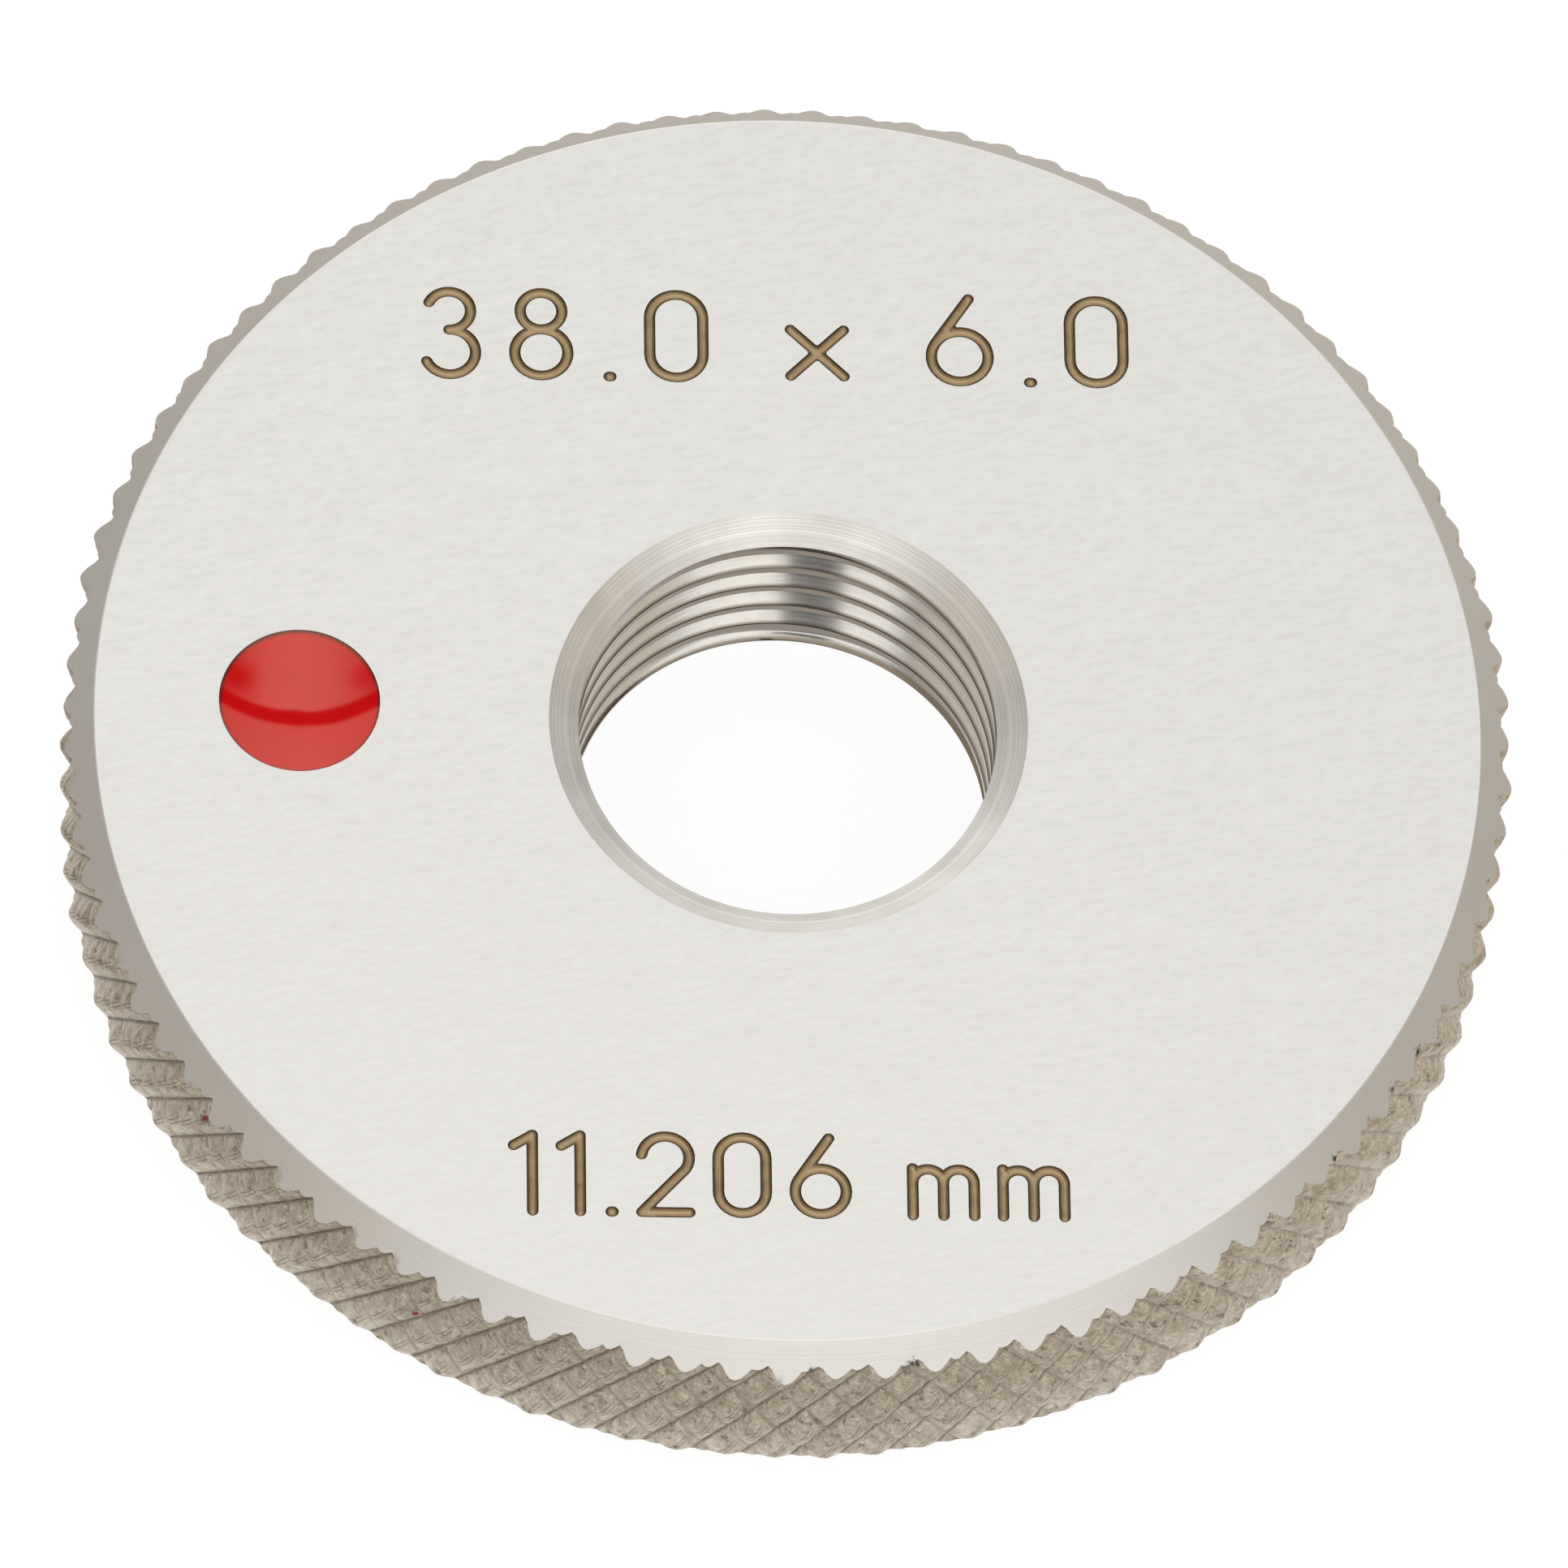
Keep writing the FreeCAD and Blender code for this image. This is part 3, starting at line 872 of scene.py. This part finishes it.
def makeCard(number, name, over, aside, glow, extras):
    steps = studio["cardSteps"]
    across = np.linspace(-1, 1, steps)
    overAngle = np.radians(np.linspace(*over, steps)[:, None] + extras.get("bow", 0) * across ** 2)
    asideAngle = np.radians(np.linspace(*aside, steps))
    direction = np.stack(np.broadcast_arrays(
        np.sin(asideAngle), np.cos(asideAngle) * np.cos(overAngle),
        np.cos(asideAngle) * np.sin(overAngle)), -1).reshape(-1, 3)
    distance = studio["cardDistance"] * (1 - studio["cardGap"] * number)
    points = direction * distance + (0, 0, ring["thickness"])
    cosTurn, sinTurn = math.cos(studio["cardTurn"]), math.sin(studio["cardTurn"])
    turned = points @ np.array([[cosTurn, sinTurn, 0], [-sinTurn, cosTurn, 0], [0, 0, 1]])
    mesh = bpy.data.meshes.new(name)
    mesh.from_pydata((turned * mm).tolist(), [], gridTriangles(steps, steps).tolist())
    swell = np.sin(np.linspace(0, math.pi, steps))
    ends, sides = extras.get("ends", 1), extras.get("sides", 1)
    share = (ends + (1 - ends) * swell)[:, None] * (sides + (1 - sides) * swell)
    setPointValues(mesh, "share", share.ravel())
    setPointValues(mesh, "cover", np.outer(swell, swell).ravel() ** 1.5 if "veil" in extras else 1)
    card = showStage(name, mesh, glowingMaterial(name, glow))
    card.visible_camera = False
    card.visible_shadow = False


# The grey table round the part, which only mirror-like surfaces see: a flat ring just over the floor.
def makeTable():
    columns = studio["tableColumns"]
    angle = np.linspace(0, 2 * math.pi, columns)[:, None]
    points = polarPoints(np.array(studio["table"]), angle, studio["tableHeight"])
    mesh = bpy.data.meshes.new("table")
    mesh.from_pydata((points * mm).tolist(), [], gridTriangles(columns, 2).tolist())
    fromBright = np.arctan2(points[:, 1], points[:, 0]) - studio["tableBright"]
    share, swing = studio["tableShares"]
    setPointValues(mesh, "share", share + swing * np.cos(fromBright))
    setPointValues(mesh, "cover", 1)
    table = showStage("table", mesh, glowingMaterial("table", studio["tableGrey"]))
    table.visible_camera = False
    table.visible_diffuse = False
    table.visible_shadow = False


# 1 for what the camera and mirror-like surfaces see, which is white, and 0 for what lights the rest.
def whiteForRays(tree):
    rays = addNode(tree, "ShaderNodeLightPath").outputs
    seen = reckon(tree, "MAXIMUM", rays["Is Camera Ray"], rays["Is Glossy Ray"])
    return reckon(tree, "MAXIMUM", seen, rays["Is Transmission Ray"])


# The floor lets a view from below through, so that the underside can be looked at.
def makeFloor():
    half = studio["floorSize"] / 2 * mm
    low = -studio["floorGap"] * mm
    mesh = bpy.data.meshes.new("floor")
    corners = [(-half, -half, low), (half, -half, low), (half, half, low), (-half, half, low)]
    mesh.from_pydata(corners, [], [(0, 1, 2, 3)])
    material = bpy.data.materials.new("whiteFloor")
    material.cycles.emission_sampling = "NONE"
    material.use_nodes = True
    tree = material.node_tree
    tree.nodes.clear()
    shade = addNode(tree, "ShaderNodeBsdfDiffuse", {"Color": studio["floorColour"]})
    glow = reckon(tree, "MULTIPLY", whiteForRays(tree), studio["floorWhite"])
    light = addNode(tree, "ShaderNodeEmission", {"Color": (1, 1, 1, 1), "Strength": glow})
    both = addNode(tree, "ShaderNodeAddShader", {0: shade.outputs[0], 1: light.outputs[0]})
    clear = addNode(tree, "ShaderNodeBsdfTransparent")
    under = addNode(tree, "ShaderNodeNewGeometry").outputs["Backfacing"]
    oneSided = addNode(tree, "ShaderNodeMixShader", {0: under, 1: both.outputs[0], 2: clear.outputs[0]})
    addNode(tree, "ShaderNodeOutputMaterial", {"Surface": oneSided.outputs[0]})
    showStage("floor", mesh, material)


def makeWorld():
    world = bpy.data.worlds.new("studio")
    world.use_nodes = True
    tree = world.node_tree
    tree.nodes.clear()
    strength = fitRange(tree, whiteForRays(tree), 0.0, 1.0, 0.55, 1.0)
    light = addNode(tree, "ShaderNodeBackground", {"Color": (1, 1, 1, 1), "Strength": strength})
    addNode(tree, "ShaderNodeOutputWorld", {"Surface": light.outputs[0]})
    bpy.context.scene.world = world


def makeCamera():
    data = bpy.data.cameras.new("camera")
    data.sensor_width = camera["sensorWidth"]
    data.lens = camera["focalPixels"] / camera["imageWidth"] * data.sensor_width
    data.clip_start, data.clip_end = camera["clip"]
    cosUp, sinUp = math.cos(camera["elevation"]), math.sin(camera["elevation"])
    forward = Vector((0, cosUp, -sinUp))
    level = Vector((1, 0, 0))
    upright = Vector((0, sinUp, cosUp))
    cosRoll, sinRoll = math.cos(camera["roll"]), math.sin(camera["roll"])
    across = cosRoll * level + sinRoll * upright
    up = cosRoll * upright - sinRoll * level
    place = -camera["distance"] * forward - camera["aside"] * across - camera["above"] * up
    place = (place + Vector((0, 0, ring["thickness"]))) * mm
    axes = Matrix((across, up, -forward)).transposed().to_4x4()
    turn = Matrix.Rotation(camera["turn"], 4, "Z")
    eye = bpy.data.objects.new("camera", data)
    eye.matrix_world = turn @ Matrix.Translation(place) @ axes
    bpy.context.scene.collection.objects.link(eye)
    bpy.context.scene.camera = eye


for number, card in enumerate(studio["cards"]):
    makeCard(number, *card)
makeTable()
makeFloor()
makeWorld()
makeCamera()
bpy.context.scene.view_settings.view_transform = "Standard"
print("studio")
